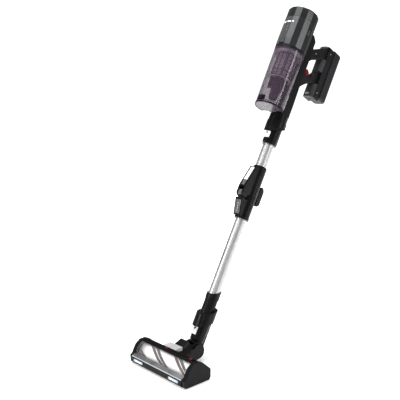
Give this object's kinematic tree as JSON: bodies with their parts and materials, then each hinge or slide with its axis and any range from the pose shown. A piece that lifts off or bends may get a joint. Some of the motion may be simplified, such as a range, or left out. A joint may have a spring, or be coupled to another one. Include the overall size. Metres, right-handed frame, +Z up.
{
  "type": "cordless stick vacuum",
  "caption": "Upright cordless vacuum with a clear cyclone bin, battery handle, bending wand and powered brush head.",
  "frame": {"origin": "on the floor at the middle of the felt strip under the floor head", "axes": "+X to the machine's right, +Y to the back towards the user, +Z up; the wand leans back 28.6 degrees"},
  "size_m": [0.25, 0.8146, 1.0705],
  "materials": {
    "black_satin": "fine satin texture",
    "graphite_gloss": "glossy dark graphite",
    "panel_grey": "glossy grey",
    "motor_metal": "plain steel can",
    "impeller_plastic": "moulded",
    "filter_felt": "pleated felt",
    "seal_rubber": "matte rubber",
    "grip_grey": "fine grain",
    "red": "translucent red",
    "bin_clear": "smoke violet clear plastic",
    "bin_black": "satin",
    "mesh_grey": "perforated",
    "battery_dark": "fine grain",
    "cell_wrap": "shrink wrap",
    "release_white": "silver white",
    "tube_metal": "satin anodised",
    "cap_black": "fine texture",
    "window_clear": "clear plastic",
    "trim_silver": "satin silver",
    "lamp_clear": "frosted lens",
    "deck_silver": "glossy light grey",
    "sole_dark": "moulded",
    "felt": "velvet",
    "wheel_black": "soft rubber",
    "brush_core_white": "moulded",
    "brush_white": "soft plush",
    "bristle_brown": "nylon bristle"
  },
  "bodies": {
    "hand_unit": {"motor_housing": "graphite_gloss", "front_panel": "panel_grey", "suction_motor": "motor_metal", "spine_duct": "black_satin", "nozzle_socket": "black_satin", "nozzle_seal": "seal_rubber", "handle_frame": "black_satin", "grip_pads": "grip_grey"},
    "filter_cap": {"filter_cap": "graphite_gloss", "exhaust_filter": "filter_felt"},
    "impeller": {"impeller": "impeller_plastic"},
    "power_selector": {"power_selector": "bin_black"},
    "trigger": {"trigger": "red"},
    "bin_release_button": {"bin_release_button": "panel_grey"},
    "dust_bin": {"dust_bin": "bin_clear", "bin_rim": "bin_black", "pre_filter": "filter_felt", "cyclone_shroud": "mesh_grey", "cyclone_cone": "bin_black"},
    "bin_lid": {"bin_lid": "bin_clear", "lid_rim": "bin_black"},
    "lid_button": {"lid_button": "bin_black"},
    "battery": {"battery_shell": "battery_dark", "battery_cells": "cell_wrap"},
    "battery_button": {"battery_button": "battery_dark"},
    "upper_wand": {"wand_collar": "black_satin", "upper_tube": "tube_metal", "flex_upper_housing": "black_satin", "flex_hose_upper": "seal_rubber"},
    "wand_button": {"wand_button": "release_white"},
    "flex_lever": {"flex_lever": "release_white"},
    "lower_wand": {"flex_lower_housing": "black_satin", "flex_hose_lower": "seal_rubber", "lower_tube": "tube_metal", "wand_socket": "black_satin"},
    "neck": {"neck_pipe": "black_satin"},
    "neck_button": {"neck_button": "release_white"},
    "swivel_arm": {"swivel_arm": "black_satin"},
    "floor_head": {"head_chassis": "black_satin", "end_cap_left": "cap_black", "brush_window": "window_clear", "grip_strip": "cap_black", "front_trim": "trim_silver", "front_bumper": "cap_black", "headlight_lenses": "lamp_clear", "sole_plate": "sole_dark", "felt_strip": "felt", "deck_cover": "deck_silver", "brush_motor": "motor_metal", "drive_belt": "seal_rubber"},
    "window_clip": {"window_clip": "red"},
    "brush_latch": {"brush_latch": "red"},
    "brush_cap": {"end_cap_right": "cap_black"},
    "brush": {"brush_core": "brush_core_white", "brush_fabric": "brush_white", "brush_bristles": "bristle_brown"},
    "drive_wheel": {"drive_wheel": "impeller_plastic"},
    "motor_pulley": {"motor_pulley": "impeller_plastic"},
    "rear_wheel_left": {"rear_wheel_left": "wheel_black"},
    "rear_wheel_right": {"rear_wheel_right": "wheel_black"}
  },
  "joints": [
    {"name": "filter_cap_lift", "type": "slide", "parent": "hand_unit", "child": "filter_cap", "axis": [0, 0.4787, 0.878], "range_m": [0, 0.05]},
    {"name": "impeller_spin", "type": "hinge", "parent": "hand_unit", "child": "impeller", "pos_m": [0, 0.5277, 0.98865], "axis": [0, 0.4787, 0.878], "continuous": true},
    {"name": "power_select", "type": "slide", "parent": "hand_unit", "child": "power_selector", "axis": [0, -0.4787, -0.878], "range_m": [0, 0.006]},
    {"name": "trigger_pull", "type": "hinge", "parent": "hand_unit", "child": "trigger", "pos_m": [0, 0.58894, 0.84193], "axis": [1, 0, 0], "range_deg": [0, 8], "stiffness_Nm_per_rad": 0.6, "springref_deg": -5.73},
    {"name": "bin_release", "type": "slide", "parent": "hand_unit", "child": "bin_release_button", "axis": [0, 0.878, -0.4787], "range_m": [0, 0.0025], "stiffness_N_per_m": 600, "springref_m": -0.001},
    {"name": "bin_removal", "type": "slide", "parent": "hand_unit", "child": "dust_bin", "axis": [0, -0.878, 0.4787], "range_m": [0, 0.12]},
    {"name": "lid_open", "type": "hinge", "parent": "dust_bin", "child": "bin_lid", "pos_m": [0, 0.41849, 0.74238], "axis": [1, 0, 0], "range_deg": [0, 85]},
    {"name": "lid_release", "type": "slide", "parent": "dust_bin", "child": "lid_button", "axis": [0, 0.878, -0.4787], "range_m": [0, 0.0015], "stiffness_N_per_m": 600, "springref_m": -0.001},
    {"name": "battery_removal", "type": "slide", "parent": "hand_unit", "child": "battery", "axis": [0, -0.4787, -0.878], "range_m": [0, 0.1]},
    {"name": "battery_release", "type": "slide", "parent": "battery", "child": "battery_button", "axis": [0, -0.878, 0.4787], "range_m": [0, 0.002], "stiffness_N_per_m": 600, "springref_m": -0.001},
    {"name": "wand_release", "type": "slide", "parent": "hand_unit", "child": "upper_wand", "axis": [0, -0.4787, -0.878], "range_m": [0, 0.06]},
    {"name": "wand_button_press", "type": "slide", "parent": "upper_wand", "child": "wand_button", "axis": [0, 0.878, -0.4787], "range_m": [0, 0.002], "stiffness_N_per_m": 600, "springref_m": -0.001},
    {"name": "flex_bend", "type": "hinge", "parent": "upper_wand", "child": "lower_wand", "pos_m": [0, 0.28282, 0.49459], "axis": [-1, 0, 0], "range_deg": [0, 90]},
    {"name": "flex_lever_press", "type": "hinge", "parent": "upper_wand", "child": "flex_lever", "pos_m": [0, 0.32922, 0.5661], "axis": [1, 0, 0], "range_deg": [0, 2.5], "stiffness_Nm_per_rad": 4, "springref_deg": -1.15},
    {"name": "neck_release", "type": "slide", "parent": "lower_wand", "child": "neck", "axis": [0, -0.4787, -0.878], "range_m": [0, 0.05]},
    {"name": "neck_button_press", "type": "slide", "parent": "neck", "child": "neck_button", "axis": [0, 0.878, -0.4787], "range_m": [0, 0.0015], "stiffness_N_per_m": 600, "springref_m": -0.001},
    {"name": "neck_pitch", "type": "hinge", "parent": "neck", "child": "swivel_arm", "pos_m": [0, 0.076, 0.039], "axis": [1, 0, 0], "range_deg": [-25, 50]},
    {"name": "head_swivel", "type": "hinge", "parent": "swivel_arm", "child": "floor_head", "pos_m": [0, 0.011, 0.039], "axis": [0, 1, 0], "range_deg": [-50, 50]},
    {"name": "window_clip_slide", "type": "slide", "parent": "floor_head", "child": "window_clip", "axis": [-1, 0, 0], "range_m": [0, 0.003]},
    {"name": "brush_latch_slide", "type": "slide", "parent": "floor_head", "child": "brush_latch", "axis": [-1, 0, 0], "range_m": [0, 0.003], "stiffness_N_per_m": 600, "springref_m": -0.001},
    {"name": "brush_removal", "type": "slide", "parent": "floor_head", "child": "brush_cap", "axis": [1, 0, 0], "range_m": [0, 0.24]},
    {"name": "brush_spin", "type": "hinge", "parent": "brush_cap", "child": "brush", "pos_m": [0.1, -0.022, 0.0298], "axis": [1, 0, 0], "continuous": true},
    {"name": "drive_wheel_spin", "type": "hinge", "parent": "floor_head", "child": "drive_wheel", "pos_m": [-0.108, -0.022, 0.0298], "axis": [1, 0, 0], "continuous": true},
    {"name": "motor_spin", "type": "hinge", "parent": "floor_head", "child": "motor_pulley", "pos_m": [-0.108, 0.0202, 0.017], "axis": [1, 0, 0], "continuous": true},
    {"name": "rear_wheel_left_spin", "type": "hinge", "parent": "floor_head", "child": "rear_wheel_left", "pos_m": [-0.052, 0.02, 0.0095], "axis": [1, 0, 0], "continuous": true},
    {"name": "rear_wheel_right_spin", "type": "hinge", "parent": "floor_head", "child": "rear_wheel_right", "pos_m": [0.052, 0.02, 0.0095], "axis": [1, 0, 0], "continuous": true}
  ],
  "couplings": [
    {"joint": "drive_wheel_spin", "follows": "brush_spin", "ratio": 1},
    {"joint": "motor_spin", "follows": "brush_spin", "ratio": 2.1111}
  ]
}
